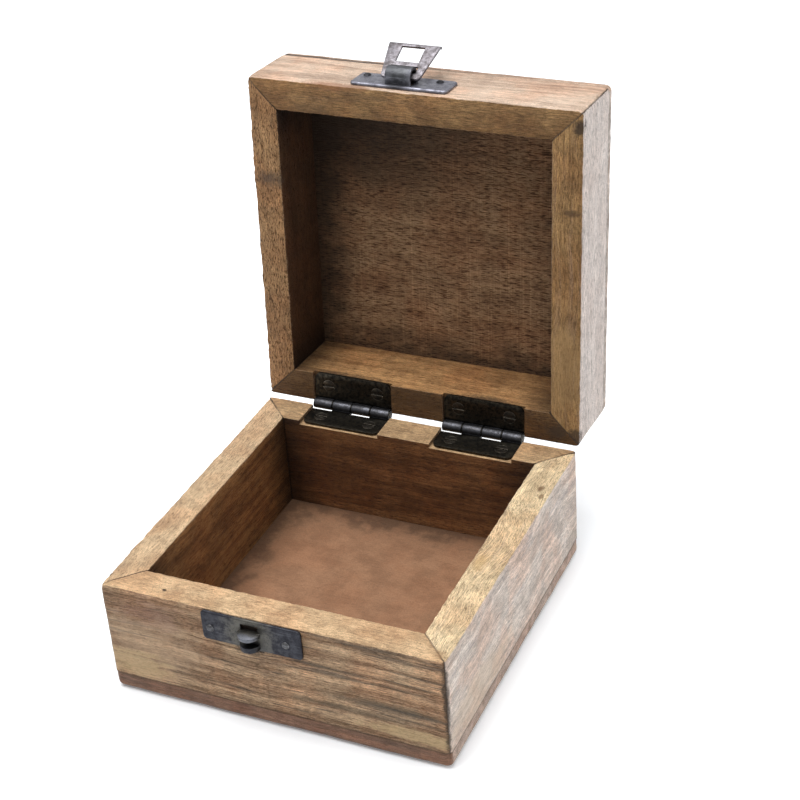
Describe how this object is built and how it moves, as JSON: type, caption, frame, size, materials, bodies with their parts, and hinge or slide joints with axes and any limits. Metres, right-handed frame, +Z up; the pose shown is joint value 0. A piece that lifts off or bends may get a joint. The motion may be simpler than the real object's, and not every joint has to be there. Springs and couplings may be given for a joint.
{
  "type": "wooden keepsake box",
  "caption": "Square wooden keepsake box with mitred walls, a deep hinged lid on butt hinges and a swinging hasp that latches over a hook on the front.",
  "frame": {"origin": "middle of the base's underside", "axes": "+Z up, -Y towards the front with the catch, +X to the right seen from the front"},
  "size_m": [0.1008, 0.1374, 0.1442],
  "materials": {
    "base_wood": "roughly sawn, greyed and streaked",
    "bottom_wood": "roughly sawn, darker and redder",
    "lid_wood": "roughly sawn, greyed and streaked",
    "hinge_steel": "blackened, mottled brown",
    "plate_steel": "gunmetal, worn at the edges",
    "link_steel": "grey steel, worn"
  },
  "bodies": {
    "base": {"base_front_wall": "base_wood", "base_rear_wall": "base_wood", "base_left_wall": "base_wood", "base_right_wall": "base_wood", "base_bottom_panel": "bottom_wood", "catch_plate": "plate_steel", "catch_nails": "plate_steel", "left_hinge_base_leaf": "hinge_steel", "left_hinge_pin": "hinge_steel", "left_hinge_base_screws": "hinge_steel", "right_hinge_base_leaf": "hinge_steel", "right_hinge_pin": "hinge_steel", "right_hinge_base_screws": "hinge_steel"},
    "lid": {"lid_front_rail": "lid_wood", "lid_rear_rail": "lid_wood", "lid_left_rail": "lid_wood", "lid_right_rail": "lid_wood", "lid_top_panel": "lid_wood", "hasp_plate": "plate_steel", "hasp_nails": "plate_steel", "left_hinge_lid_leaf": "hinge_steel", "left_hinge_lid_screws": "hinge_steel", "right_hinge_lid_leaf": "hinge_steel", "right_hinge_lid_screws": "hinge_steel"},
    "hasp": {"hasp_link": "link_steel"}
  },
  "joints": [
    {"name": "lid_hinge", "type": "hinge", "parent": "base", "child": "lid", "pos_m": [0, 0.0509, 0.03565], "axis": [-1, 0, 0], "range_deg": [-94, 86]},
    {"name": "hasp_swing", "type": "hinge", "parent": "lid", "child": "hasp", "pos_m": [-0.0045, 0.06379, 0.139], "axis": [-1, 0, 0], "range_deg": [-152.5, 26]}
  ]
}
